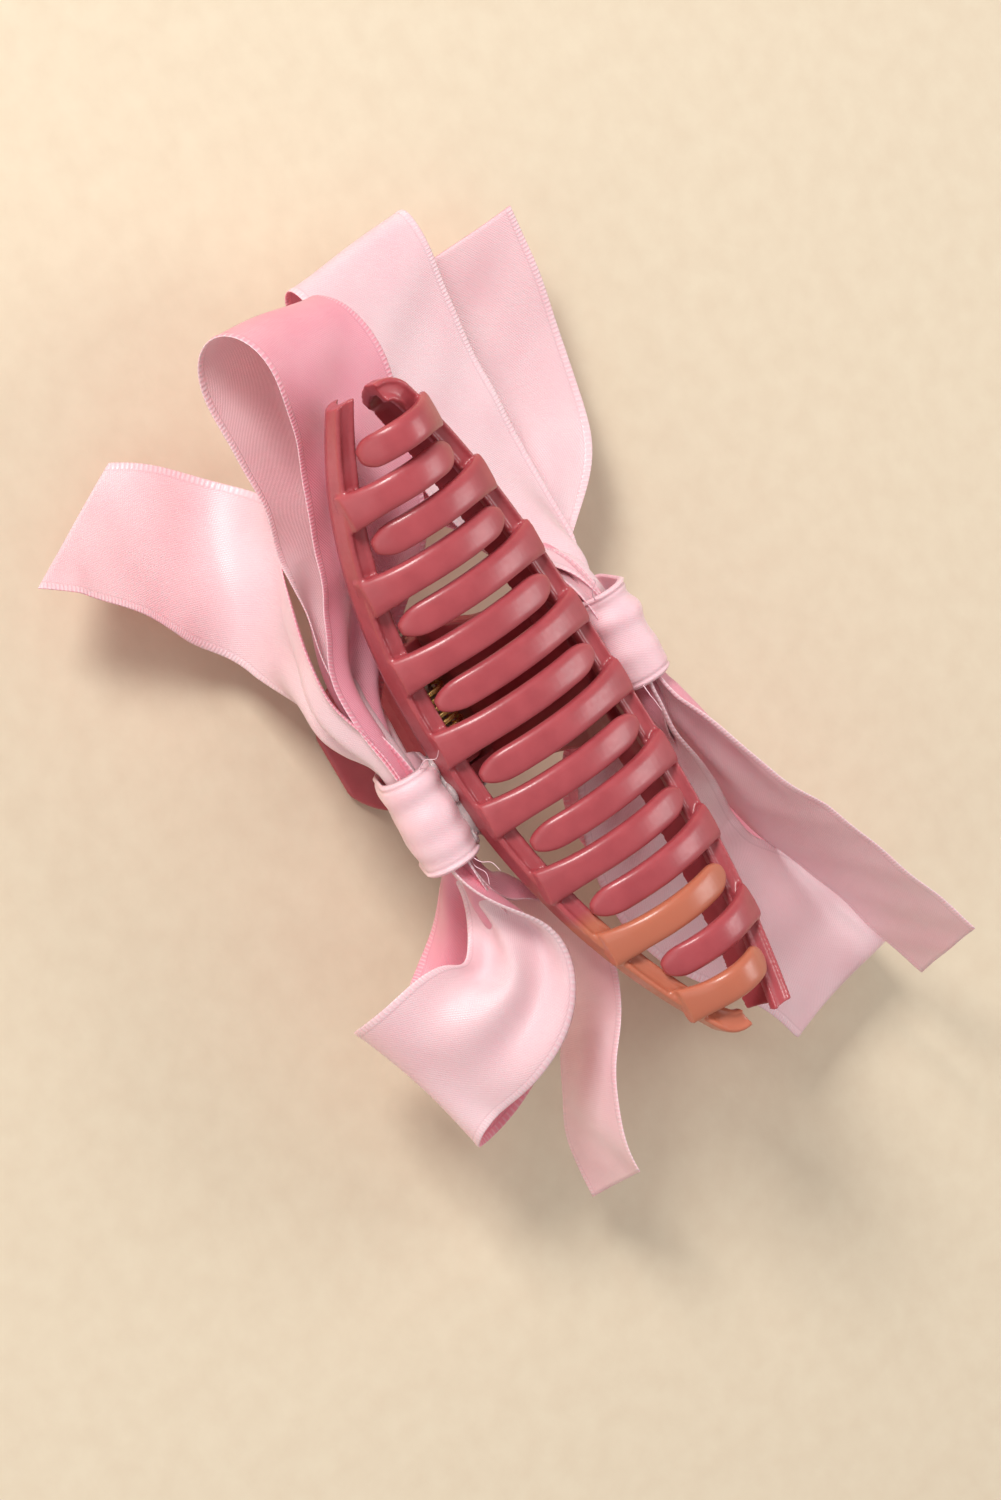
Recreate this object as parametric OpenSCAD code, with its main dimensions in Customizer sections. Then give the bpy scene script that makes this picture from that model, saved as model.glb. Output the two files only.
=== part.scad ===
// Spring claw hair clip with a satin ribbon bow on each jaw.
// Lengths are millimetres, +Z is up and the hinge pin lies along X.
// The clip is drawn about the middle of its toothed rail line and then moved
// so that the part stands on Z = 0 with its bounding box centred on the origin.

/* [Jaws] */
// Length of one jaw from end to end
jaw_length = 112; // [108:1:116]
// Half the span over which the rail curves are defined
rail_span = 59; // [58.5:0.5:62]
// Distance from the middle plane to the outer edge of the rail at mid length
rail_mid = 16; // [15.5:0.1:17]
// The same distance at the ends of the rail curve
rail_end = 4; // [3.5:0.1:5]
// How much farther out the rail lies at its +X end than at its -X end, halved
rail_skew = 3.3; // [2.8:0.1:3.6]
// How far the ends of the rail curve rise above its middle
rail_rise = 14.2; // [12:0.1:16]
// Depth of the jaw wall below the rail
wall_depth = 11; // [10:0.5:12]

/* [Teeth] */
// Number of teeth on each jaw
teeth = 8; // [8:1:8]
// Distance between the teeth of one jaw
tooth_pitch = 12.8; // [12.4:0.1:12.8]
// Width of a tooth along its straight part
tooth_w = 4.9; // [4:0.1:5.2]
// Height of the arch of a tooth above the rail
tooth_arch = 4.3; // [3:0.1:6]
// How far a tooth tip stops inside the outer edge of the opposite rail
tooth_inset = 2.8; // [2.4:0.1:4]

/* [Hinge and levers] */
// Depth of the hinge axis below the rail
hinge_depth = 34; // [33:0.5:35]
// Diameter of the hinge pin
pin_d = 2; // [1.6:0.1:2.2]
// Radial play of the pin in the knuckles
pin_play = 0.04; // [0.02:0.01:0.08]
// Outer diameter of a knuckle
knuckle_d = 5.6; // [5:0.1:5.8]
// Angle of a lever below the horizontal
lever_angle = 25; // [24:0.5:26]
// Radius of the rounded end of a lever
lever_r = 13.3; // [13:0.1:13.6]
// Distance from the hinge axis to the flat tip of a lever
lever_reach = 19.1; // [18.6:0.1:19.4]
// Thickness of a lever
lever_t = 2.2; // [2:0.1:2.4]

/* [Spring] */
// Diameter of the spring wire
wire_d = 0.8; // [0.6:0.1:0.9]
// Mean diameter of the coil
coil_d = 5; // [4.6:0.1:5.2]
// Number of turns of the coil
coil_turns = 7; // [6:1:7]

/* [Ribbon] */
// Width of the satin ribbon
ribbon_w = 25; // [24:0.5:25.5]
// Thickness of one layer of ribbon
ribbon_t = 0.5; // [0.4:0.05:0.6]
// Length of a knot band along the jaw
band_w = 16; // [15:0.5:17]

/* [Hidden] */
$fn = 48;
eps = 0.01;

// ---- shape of the rails ------------------------------------------------------

// Distance of the outer edge of the right jaw's rail from the middle plane.
// The left jaw is the same moulding turned half a turn about Z.
function rail_y(x) =
    rail_end + (rail_mid - rail_end) * (1 - pow(abs(x) / rail_span, 2.44))
    + rail_skew * x / rail_span;
function rail_z(x) = rail_rise * pow(x / rail_span, 2);

// ---- polyhedra swept through rings of points ----------------------------------

// Joins equal rings of points into one closed solid with flat end caps. The side
// numbered `other` is split along its other diagonal.
module skin(rings, other = -1) {
    n = len(rings[0]);
    m = len(rings);
    sides = [
        for (i = [0:m - 2], j = [0:n - 1])
        let (a = i * n + j, b = i * n + (j + 1) % n)
        each (j == other ? [[a, a + n, b], [b, a + n, b + n]] : [[a, b + n, b], [a, a + n, b + n]])
    ];
    first = [[for (j = [0:n - 1]) j]];
    last = [[for (j = [n - 1:-1:0]) (m - 1) * n + j]];
    polyhedron(points = [for (r = rings) each r], faces = concat(sides, first, last), convexity = 8);
}

function unit(v) = v / norm(v);
function mix(a, b, t) = a + (b - a) * t;

// Catmull-Rom curve through the stations s, at station i plus fraction t.
function curve(s, i, t) =
    let (
        n = len(s),
        p0 = s[max(i - 1, 0)],
        p1 = s[i],
        p2 = s[min(i + 1, n - 1)],
        p3 = s[min(i + 2, n - 1)]
    )
    0.5 * (2 * p1 + (p2 - p0) * t + (2 * p0 - 5 * p1 + 4 * p2 - p3) * t * t
        + (3 * p1 - p0 - 3 * p2 + p3) * t * t * t);

function along(s, steps) = [
    for (i = [0:len(s) - 2], k = [0:steps - 1]) curve(s, i, k / steps),
    s[len(s) - 1]
];

function tangent(p, i) = unit(p[min(i + 1, len(p) - 1)] - p[max(i - 1, 0)]);

// ---- ribbons ------------------------------------------------------------------
// A station is [x, y, z, across x, y, z, gather]: a point on the middle of the
// ribbon, the direction across it, and the part of its full width that is left
// where it is gathered.

function part3(v, k) = [v[k], v[k + 1], v[k + 2]];
function ribbon_steps() = 5;
function ribbon_ring(p, i) =
    let (
        c = part3(p[i], 0),
        t = tangent([for (q = p) part3(q, 0)], i),
        d = part3(p[i], 3),
        a = unit(d - t * (d * t)),
        n = cross(t, a),
        h = a * ribbon_w * p[i][6] / 2,
        k = n * ribbon_t / 2
    )
    [c - h - k, c + h - k, c + h + k, c - h + k];
function ribbon_rings(s) = let (p = along(s, ribbon_steps())) [for (i = [0:len(p) - 1]) ribbon_ring(p, i)];

module ribbon(s) {
    // The two faces of a twisted sheet share their diagonals, so it keeps its thickness.
    color("pink") skin(ribbon_rings(s), other = 2);
}

// Layers inside a knot band, as distances from the middle plane at knot height.
// The right bow stands farther out than the left one by right_out.
layer_1 = 17;
layer_2 = 18.3;
layer_3 = 19.7;
layer_4 = 21.1;
right_out = 2.5;
rl_1 = layer_1 + right_out;
rl_2 = layer_2 + right_out;
rl_3 = layer_3 + right_out;
rl_4 = layer_4 + right_out;
knot_z = -10;
squeeze = 0.42;
left_knot_x = 5.5;
right_knot_x = -0.5;
knot_gap = 0.6;
lx0 = left_knot_x - knot_gap;
lx1 = left_knot_x + knot_gap;
rx0 = right_knot_x - knot_gap;
rx1 = right_knot_x + knot_gap;

left_upper_loop_route = [
    [lx0, -layer_3, knot_z, 0, 3, -9, squeeze],
    [-3.5, -19.8, -10, 0, 3, -9, squeeze],
    [-10, -18.7, -11.5, 1, 7, -10, 0.56],
    [-16, -15.8, -14.2, 3, 12, -12, 0.74],
    [-23, -10.2, -14.2, 7, 17, -13, 0.94],
    [-31, -5.4, -10.7, 9, 20, -11, 1],
    [-42.5, -2.8, -7.2, 9, 20, -10, 1],
    [-54, -0.6, -4, 7, 20, -11, 1],
    [-64.5, -1, -1.6, 7, 19, -12, 1],
    [-70.3, -3.2, -4.5, 8, 19, -13, 1],
    [-68.5, -5.5, -10, 7, 19, -13, 1],
    [-57, -6, -16, 7, 19, -13, 1],
    [-43, -5.8, -19, 8, 19, -13, 1],
    [-33, -7.6, -21.5, 8, 19, -13, 1],
    [-25.5, -11.6, -21.6, 5, 15, -13, 0.88],
    [-18, -16.4, -19, 2, 10, -12, 0.68],
    [-11, -18.6, -15, 1, 6, -10, 0.54],
    [-3.5, -18.4, -10.3, 0, 3, -9, squeeze],
    [lx0, -layer_2, knot_z, 0, 3, -9, squeeze]
];
left_upper_tail_route = [
    [lx0, -layer_4, knot_z, 0, -3, 9, squeeze],
    [-3.5, -21.3, -10.2, 0, -3, 9, 0.43],
    [-8, -22.6, -12, -3, -2, 9, 0.5],
    [-13.5, -24.5, -15, -5, -2, 11, 0.65],
    [-20, -23.2, -18, -9, -3, 17, 0.85],
    [-27, -21, -23.4, -16, 4, 15, 1],
    [-34.5, -17.5, -30.8, -18, 14, 4, 1],
    [-41.5, -21.5, -34.5, -12, 20, -6, 1],
    [-48.5, -27.5, -33.5, -8, 22, -8, 1],
    [-55.5, -36.5, -34, -6, 20, -13, 1]
];
left_lower_loop_route = [
    [lx1, -layer_3, knot_z, 0, -3, 9, squeeze],
    [14.5, -19.6, -9.8, 0, -3, 9, squeeze],
    [22, -18.2, -8.9, -1, -1, 9, 0.44],
    [28, -17.2, -8.9, 3, 7, 7, 0.5],
    [33, -18.6, -9, 6, 10, 6, 0.6],
    [36.2, -21.6, -9.4, 10, 11, 7, 0.72],
    [37.5, -25.6, -10.2, 13, 12, 7, 0.86],
    [38.5, -30.4, -11.7, 16, 14, 6, 0.97],
    [39.8, -35.4, -14.2, 18, 12, 4, 1],
    [42, -39.3, -18.8, 20, 9, 3, 1],
    [44.5, -36, -23, 22, 8, 1, 1],
    [44.8, -29, -24.6, 24, 9, 0, 1],
    [40.5, -21.8, -24, 20, 8, 2, 0.97],
    [31.5, -18.2, -20, 9, 4, 7, 0.75],
    [22.5, -18.5, -14.8, 2, 1, 9, 0.55],
    [14.5, -18.6, -10, 0, -3, 9, squeeze],
    [lx1, -layer_2, knot_z, 0, -3, 9, squeeze]
];
left_lower_tail_route = [
    [lx1, -layer_1, knot_z, 0, -3, 9, squeeze],
    [14.2, -17.2, -9.6, 0, -3, 9, 0.38],
    [18, -16, -12.3, 0, -2, 9, 0.45],
    [20.5, -14, -16.3, 0, 0, 10, 0.56],
    [24.5, -11.2, -19, -1, 1, 16, 0.72],
    [30, -7.8, -20.8, -2, 1, 22, 0.9],
    [38, -5.2, -21.6, -4, 0, 24, 1],
    [48, -6, -22, -4, -1, 24, 1],
    [57, -12.4, -21.8, -4, 0, 24, 1],
    [66, -17.5, -21.4, -6, -1, 24, 1],
    [76, -18.5, -21.5, -9, 0, 23, 1]
];
right_upper_loop_route = [
    [rx0, rl_3, knot_z, 0, 1.5, -9, squeeze],
    [-9.5, 22.3, -10, 0, 1.5, -9, squeeze],
    [-14.5, 22.8, -12.7, 2, 8, -7, 0.62],
    [-20, 21, -16, 6, 17, -8, 0.9],
    [-28, 19.8, -18.7, 11, 20, -8, 1],
    [-40, 19, -19.5, 10, 20, -8, 1],
    [-52, 18.9, -19.2, 7, 22, -8, 1],
    [-63, 19, -17.4, 4, 24, -6, 1],
    [-70.6, 18.6, -18.8, 1, 25, -5, 1],
    [-68, 18.2, -23.6, 3, 24, -6, 1],
    [-55, 19.5, -27, 5, 23, -6, 1],
    [-40, 20, -27, 8, 21, -6, 1],
    [-27, 20.5, -26, 8, 20, -6, 0.95],
    [-17, 21.4, -19.5, 2, 9, -8, 0.64],
    [-12.5, 21.7, -12.5, 0, 3, -9, 0.47],
    [-9.5, 21.1, -9.9, 0, 1.5, -9, 0.41],
    [rx0, rl_2, knot_z, 0, 1.5, -9, squeeze]
];
right_upper_tail_route = [
    [rx0, rl_1, knot_z, 0, 0.9, -9, 0.41],
    [-9, 19.5, -9.9, 0, 1.2, -9, 0.39],
    [-12.2, 19.2, -13.6, 0, 2, -9, 0.43],
    [-16.5, 20.8, -22.9, 1, 9, -8, 0.6],
    [-21.5, 27.3, -29.8, 1, 16.5, -5, 0.8],
    [-27.5, 33.6, -33, 0, 22, -1, 0.98],
    [-34, 36.5, -35, -1, 24, 0, 1],
    [-47, 38.8, -33.5, -2, 24, 1, 1],
    [-61, 38.5, -30, -3, 23, 1, 1]
];
right_lower_loop_route = [
    [rx1, rl_3, knot_z, 0, -1.5, 9, squeeze],
    [8.5, 22.2, -9.8, 0, -1.5, 9, squeeze],
    [12, 21.6, -11, 0, 0, 9, 0.46],
    [16.5, 20.4, -13.5, 0, 5, 9, 0.6],
    [24, 17.2, -17.5, 1, 16, 8, 0.82],
    [38, 16.7, -21.8, 2, 24, 3, 1],
    [50, 21.3, -25.7, 2, 24, 0, 1],
    [58, 28, -27, 1, 24, -2, 1],
    [67, 33, -28.5, 1, 24, -3, 1],
    [77, 37, -30, 4, 24, -3, 1],
    [72.5, 36.5, -34.5, 3, 24, -2, 1],
    [62, 34, -36, 1, 24, -1, 1],
    [50, 29, -35, 2, 24, 0, 1],
    [38, 25, -32, 2, 24, 0, 1],
    [26, 18.6, -27.8, 1, 17, 3, 0.84],
    [16.5, 19, -18.5, 0, 5, 9, 0.62],
    [12, 20.2, -12.8, 0, 0, 9, 0.47],
    [8.5, 20.8, -10, 0, -1.5, 9, squeeze],
    [rx1, rl_2, knot_z, 0, -1.5, 9, squeeze]
];
right_lower_tail_route = [
    [rx1, rl_4, knot_z, 0, -1.5, 9, squeeze],
    [8, 23.8, -10, 0, -1, 9, 0.43],
    [14, 25.5, -10.5, -1, 0, 9, 0.62],
    [22, 28, -11.5, -3, -1, 12, 0.85],
    [36, 32.2, -13.2, -8, -1, 22, 1],
    [56, 40.7, -13.4, -10, -1, 22, 1],
    [76.2, 48.1, -14, -11, -1, 22, 1]
];

// ---- the part's own frame -------------------------------------------------------

routes = [
    left_upper_loop_route, left_upper_tail_route, left_lower_loop_route, left_lower_tail_route,
    right_upper_loop_route, right_upper_tail_route, right_lower_loop_route, right_lower_tail_route
];
corners = [for (r = routes, ring = ribbon_rings(r)) each ring];
lever_low = -hinge_depth - lever_reach * sin(lever_angle) - (lever_axis_drop() + lever_t) * cos(lever_angle);
centre_x = (min([for (c = corners) c[0]]) + max([for (c = corners) c[0]])) / 2;
centre_y = (min([for (c = corners) c[1]]) + max([for (c = corners) c[1]])) / 2;
module in_part_frame() {
    translate([-centre_x, -centre_y, -lever_low]) children();
}

// ---- jaws -------------------------------------------------------------------------
// Half of the clip: the right jaw, with its rail on the +Y side.

// Distance from the hinge axis down to the outer face of a lever
function lever_axis_drop() = 1.5;
rail_t = 3.4;
rail_drop = 1.2;
wall_t = 2;

// Section of rail and wall, as offsets from the rail's top outer edge
function wall_section(d) = [
    [-0.4, -rail_drop],
    [0, -rail_drop - 0.5],
    [0, -d * 0.5],
    [-0.9, -d * 0.75],
    [-2.6, -d],
    [-4.3, -d + 0.3],
    [-2.8, -d * 0.72],
    [-wall_t, -d * 0.48],
    [-wall_t, -3.2],
    [-rail_t, -2.8],
    [-rail_t, -rail_drop - 0.3],
    [-rail_t + 0.3, -rail_drop]
];
// The wall gets shallower over the last part of each end.
function wall_d(x) = wall_depth - 2 * pow(max(0, (abs(x) - 38) / 18), 2);
function wall_ring(x) = [for (p = wall_section(wall_d(x))) [x, rail_y(x) + p[0], rail_z(x) + p[1]]];

// At its -X end the wall curls in across the end of the clip, about a vertical line.
hook_r = 4.6;
hook_start = 25;
hook_end = 100;
hook_steps = 5;
hook_x = hook_r * (1 - sin(hook_start)) - jaw_length / 2;
function hook_ring(a) =
    let (
        centre = [hook_x + hook_r * sin(hook_start), rail_y(hook_x) - hook_r * cos(hook_start)],
        lift = rail_z(hook_x) + 0.5 * sin(a - hook_start)
    )
    [
        for (p = wall_section(wall_d(hook_x)))
        [centre[0] - (hook_r + p[0]) * sin(a), centre[1] + (hook_r + p[0]) * cos(a), lift + p[1]]
    ];

wall_steps = 34;
wall_step = (jaw_length / 2 - hook_x - 2.6) / wall_steps;
module wall() {
    skin(concat(
        [for (i = [0:wall_steps]) wall_ring(jaw_length / 2 - i * wall_step)],
        [for (k = [0:hook_steps]) hook_ring(mix(hook_start, hook_end, k / hook_steps))]
    ));
}

// Section of a tooth at half width h, between heights z0 and z1
function tooth_section(h, z0, z1) = [
    [-h, z0], [h, z0], [h, z1 - 0.42 * (z1 - z0)], [0.8 * h, z1 - 0.13 * (z1 - z0)], [0.4 * h, z1 - 0.02],
    [-0.4 * h, z1 - 0.02], [-0.8 * h, z1 - 0.13 * (z1 - z0)], [-h, z1 - 0.42 * (z1 - z0)]
];
tooth_stations = [0, 0.04, 0.12, 0.22, 0.34, 0.46, 0.58, 0.7, 0.8, 0.88, 0.94, 0.975, 0.995];
function tooth_half(t) =
    let (root = 0.55 * pow(1 - min(t / 0.3, 1), 2), tip = max(0, (t - 0.84) / 0.16))
    (tooth_w / 2 + root) * sqrt(max(0.05, 1 - tip * tip));
module tooth(x) {
    y0 = rail_y(x) - 0.1;
    y1 = -(rail_y(-x) - tooth_inset);
    z = rail_z(x);
    skin([
        for (t = tooth_stations)
        let (
            top = z + 4 * tooth_arch * t * (1 - t) + 1.2 * t,
            thick = mix(2.8, 1.7, t),
            h = tooth_half(t)
        )
        [for (p = tooth_section(h, top - thick, top)) [x + p[0], mix(y0, y1, t), p[1]]]
    ]);
}

// Plate that joins the wall to the hinge, as a section in Y and Z
plate_half = 13.4;
hinge_clear = 3.7;
plate_section = [
    [14.2, -6], [13.9, -8.5], [12.9, -12], [11, -17], [8.9, -22], [7.2, -27], [6.2, -31], [5.9, -35], [6.6, -38.4],
    [4.4, -39], [hinge_clear, -36], [hinge_clear, -31], [4.8, -27], [6.8, -22], [9, -17], [11, -12], [12, -8.5],
    [12.3, -6]
];
module plate() {
    intersection() {
        rotate([90, 0, 90])
            linear_extrude(height = 2 * plate_half, center = true)
                polygon(plate_section);
        // The plate narrows in a curve where it leaves the wall.
        rotate([90, 0, 0])
            translate([0, 0, -20])
                linear_extrude(height = 20)
                    difference() {
                        translate([-20, -45]) square([40, 45]);
                        for (s = [-1, 1])
                            translate([s * (plate_half + 6), -20]) scale([1, 1]) circle(r = 7);
                    }
    }
}

// A lever starts far enough from the axis to pass the other one when the jaws open.
lever_root = 5.6;
lever_centre = 6.9;
module lever_outline(inset) {
    intersection() {
        translate([0, lever_centre]) circle(r = lever_r - inset, $fn = 96);
        translate([-20, lever_root + inset]) square([40, lever_reach - lever_root - 2 * inset]);
    }
}
module lever() {
    translate([0, 0, -hinge_depth])
        rotate([-lever_angle, 0, 0])
            translate([0, 0, -lever_axis_drop() - lever_t])
                difference() {
                    linear_extrude(height = lever_t) lever_outline(0);
                    // Shallow recess inside the rim of the finger pad
                    translate([0, 0, lever_t - 0.5])
                        intersection() {
                            linear_extrude(height = 1) lever_outline(1.6);
                            translate([-20, 9, 0]) cube([40, 20, 2]);
                        }
                }
}

knuckle_w = 3.2;
knuckle_x = [-7.3, 10.9];
module knuckle(x) {
    translate([x - knuckle_w / 2, 0, -hinge_depth])
        rotate([90, 0, 90]) {
            cylinder(d = knuckle_d, h = knuckle_w);
            translate([0, -knuckle_d / 2, 0]) cube([hinge_clear + 0.8, knuckle_d, knuckle_w]);
        }
}
module jaw() {
    difference() {
        union() {
            wall();
            for (i = [0:teeth - 1]) tooth((i - 3.75) * tooth_pitch);
            plate();
            lever();
            for (x = knuckle_x) knuckle(x);
        }
        translate([-20, 0, -hinge_depth])
            rotate([0, 90, 0])
                cylinder(r = pin_d / 2 + pin_play, h = 40);
    }
}

module left_jaw() {
    color([0.74, 0.36, 0.38]) in_part_frame() rotate([0, 0, 180]) jaw();
}
module right_jaw() {
    color([0.76, 0.38, 0.4]) in_part_frame() jaw();
}

// ---- hinge pin and spring -----------------------------------------------------------

pin_half = 13.2;
module hinge_pin() {
    color("silver")
        in_part_frame()
            translate([0, 0, -hinge_depth])
                rotate([0, 90, 0]) {
                    translate([0, 0, -pin_half]) cylinder(d = pin_d, h = 2 * pin_half);
                    for (s = [-1, 1])
                        translate([0, 0, s * (pin_half + 0.25) - 0.25]) cylinder(d = pin_d + 0.8, h = 0.5);
                }
}

// Centre line of the wire: a leg under the left lever, the coil and a leg under the right lever
coil_half = 4.4;
leg_root = 5;
leg_reach = 12;
leg_drop = lever_axis_drop() + lever_t + wire_d / 2 + 0.05;
function under_lever(side, x, s, drop) = [
    x,
    side * (s * cos(lever_angle) - drop * sin(lever_angle)),
    -hinge_depth - s * sin(lever_angle) - drop * cos(lever_angle)
];
function coil_point(k, n) =
    let (a = 360 * coil_turns * k / n)
    [
        mix(-coil_half, coil_half, k / n),
        coil_d / 2 * sin(a),
        -hinge_depth - coil_d / 2 * cos(a)
    ];
spring_steps = 12 * coil_turns;
spring_line = concat(
    [under_lever(-1, -coil_half - 0.2, leg_reach, leg_drop), under_lever(-1, -coil_half - 0.2, leg_root, leg_drop)],
    [for (k = [0:spring_steps]) coil_point(k, spring_steps)],
    [under_lever(1, coil_half + 0.2, leg_root, leg_drop), under_lever(1, coil_half + 0.2, leg_reach, leg_drop)]
);
function wire_ring(p, i, r) =
    let (
        t = tangent(p, i),
        u = unit(cross(t, [1, 0.02, 0.01])),
        v = cross(t, u)
    )
    [for (k = [0:7]) p[i] + r * (u * cos(45 * k) + v * sin(45 * k))];
module torsion_spring() {
    color("gold")
        in_part_frame()
            skin([for (i = [0:len(spring_line) - 1]) wire_ring(spring_line, i, wire_d / 2)]);
}

// ---- knot band, thread and glue --------------------------------------------------------

band_t = 0.7;
band_in = [7.2, 13.6];
band_y = 19.4;
left_tilt = 18;
right_tilt = 9;
// Places children on a knot: the side is -1 for the left bow and 1 for the right one.
module at_knot(side) {
    left = side < 0;
    in_part_frame()
        translate([left ? left_knot_x : right_knot_x, left ? -band_y : band_y + right_out, knot_z])
            rotate([left ? left_tilt : right_tilt, 0, 0])
                rotate([90, 0, 90])
                    children();
}
module rounded(size, r) {
    for (i = [-1, 1])
        translate([0, i * (size[1] / 2 - r)]) circle(r = r);
    square([size[0], size[1] - 2 * r], center = true);
}
module ring(outer, inner, h) {
    linear_extrude(height = h, center = true)
        difference() {
            rounded(outer, outer[0] / 2);
            rounded(inner, inner[0] / 2);
        }
}
module knot_band(side) {
    outer = [band_in[0] + 2 * band_t, band_in[1] + 2 * band_t];
    color("lightpink") at_knot(side) ring(outer, band_in, band_w);
}
// Two turns of thread just inside the band
thread_t = 0.3;
module thread(side) {
    outer = [band_in[0] - 0.1, band_in[1] - 0.1];
    inner = [outer[0] - 2 * thread_t, outer[1] - 2 * thread_t];
    color("white")
        at_knot(side)
            for (k = [-0.3, 0.3])
                translate([0, 0, k]) ring(outer, inner, 0.5);
}
glue_t = 1.8;
module glue(side) {
    color([0.9, 0.88, 0.82])
        at_knot(side)
            translate([-side * (band_in[0] / 2 + band_t + glue_t / 2 - 0.2), -0.5, 0])
                cube([glue_t, 9, band_w - 4], center = true);
}

module left_upper_loop() { in_part_frame() ribbon(left_upper_loop_route); }
module left_lower_loop() { in_part_frame() ribbon(left_lower_loop_route); }
module left_upper_tail() { in_part_frame() ribbon(left_upper_tail_route); }
module left_lower_tail() { in_part_frame() ribbon(left_lower_tail_route); }
module left_knot_band() { knot_band(-1); }
module left_gathering_thread() { thread(-1); }
module left_glue() { glue(-1); }
module right_upper_loop() { in_part_frame() ribbon(right_upper_loop_route); }
module right_lower_loop() { in_part_frame() ribbon(right_lower_loop_route); }
module right_upper_tail() { in_part_frame() ribbon(right_upper_tail_route); }
module right_lower_tail() { in_part_frame() ribbon(right_lower_tail_route); }
module right_knot_band() { knot_band(1); }
module right_gathering_thread() { thread(1); }
module right_glue() { glue(1); }

left_jaw();
right_jaw();
hinge_pin();
torsion_spring();
left_upper_loop();
left_lower_loop();
left_upper_tail();
left_lower_tail();
left_knot_band();
left_gathering_thread();
left_glue();
right_upper_loop();
right_lower_loop();
right_upper_tail();
right_lower_tail();
right_knot_band();
right_gathering_thread();
right_glue();
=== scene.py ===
"""Looks of the claw hair clip with two satin bows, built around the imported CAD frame.

Lengths here are millimetres in the clip's own frame, whose origin lies HINGE_DEPTH
above the hinge pin. clip_to_row() turns them into metres in the row frame.
"""

import math

import bpy
import numpy as np
from mathutils import Matrix, Vector


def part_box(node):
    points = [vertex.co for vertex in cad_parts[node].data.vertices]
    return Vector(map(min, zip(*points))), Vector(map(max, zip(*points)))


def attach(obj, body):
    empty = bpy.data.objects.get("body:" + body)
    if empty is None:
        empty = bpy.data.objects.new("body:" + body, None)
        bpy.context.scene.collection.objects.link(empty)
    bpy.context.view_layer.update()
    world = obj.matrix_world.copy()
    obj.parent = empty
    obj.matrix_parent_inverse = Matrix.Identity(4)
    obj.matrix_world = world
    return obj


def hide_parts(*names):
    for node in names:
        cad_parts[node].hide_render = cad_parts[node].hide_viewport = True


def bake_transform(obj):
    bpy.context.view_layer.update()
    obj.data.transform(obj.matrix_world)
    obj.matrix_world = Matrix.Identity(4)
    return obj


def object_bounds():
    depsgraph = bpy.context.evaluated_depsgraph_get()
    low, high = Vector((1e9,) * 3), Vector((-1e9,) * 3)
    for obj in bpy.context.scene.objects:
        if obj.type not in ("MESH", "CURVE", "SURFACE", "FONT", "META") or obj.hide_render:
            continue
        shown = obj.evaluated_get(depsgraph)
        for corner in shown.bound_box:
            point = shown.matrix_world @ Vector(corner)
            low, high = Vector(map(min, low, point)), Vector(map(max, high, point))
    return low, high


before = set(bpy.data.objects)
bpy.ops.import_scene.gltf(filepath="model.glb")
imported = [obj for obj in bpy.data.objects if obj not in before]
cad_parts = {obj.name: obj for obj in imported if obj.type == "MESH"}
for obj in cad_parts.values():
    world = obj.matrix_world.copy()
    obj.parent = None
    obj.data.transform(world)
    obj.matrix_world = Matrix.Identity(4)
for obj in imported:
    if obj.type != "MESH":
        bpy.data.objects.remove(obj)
cad_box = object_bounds()

MM = 0.001
HINGE_DEPTH = 34.0
pin_low, pin_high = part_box("hinge_pin")
CLIP_ORIGIN = np.array((pin_low + pin_high) / 2) + np.array([0, 0, HINGE_DEPTH * MM])


def clip_to_row(points):
    """Points in clip millimetres as points in row metres."""
    return CLIP_ORIGIN + np.asarray(points, float) * MM


# ---- small geometry helpers -----------------------------------------------------


def unit(v):
    v = np.asarray(v, float)
    return v / np.linalg.norm(v, axis=-1, keepdims=True)


def mix(a, b, t):
    return a + (b - a) * t


def smooth(t):
    t = np.clip(t, 0, 1)
    return t * t * (3 - 2 * t)


def mesh_object(name, points, faces, body, soft_edges=True):
    """A mesh piece from clip points, riding on a body."""
    mesh = bpy.data.meshes.new(name)
    mesh.from_pydata([tuple(p) for p in clip_to_row(points)], [], faces)
    mesh.validate()
    if soft_edges:
        mesh.polygons.foreach_set("use_smooth", [True] * len(mesh.polygons))
    obj = bpy.data.objects.new(name, mesh)
    bpy.context.scene.collection.objects.link(obj)
    if body:
        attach(obj, body)
    return obj


def skin(rings):
    """Closed solid through equal rings of points."""
    m, n = len(rings), len(rings[0])
    points = np.concatenate([np.asarray(r, float) for r in rings])
    faces = []
    for i in range(m - 1):
        for j in range(n):
            a, b = i * n + j, i * n + (j + 1) % n
            faces.append((a, a + n, b + n, b))
    faces.append(tuple(range(n)))
    faces.append(tuple((m - 1) * n + j for j in range(n - 1, -1, -1)))
    return points, faces


def joined(parts):
    """Several solids as one list of points and faces."""
    points, faces, base = [], [], 0
    for p, f in parts:
        points.append(p)
        faces += [tuple(i + base for i in face) for face in f]
        base += len(p)
    return np.concatenate(points), faces


def apply_modifiers(obj):
    """Bakes an object's modifiers into its mesh."""
    bpy.context.view_layer.update()
    graph = bpy.context.evaluated_depsgraph_get()
    mesh = bpy.data.meshes.new_from_object(obj.evaluated_get(graph))
    obj.modifiers.clear()
    obj.data = mesh


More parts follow.
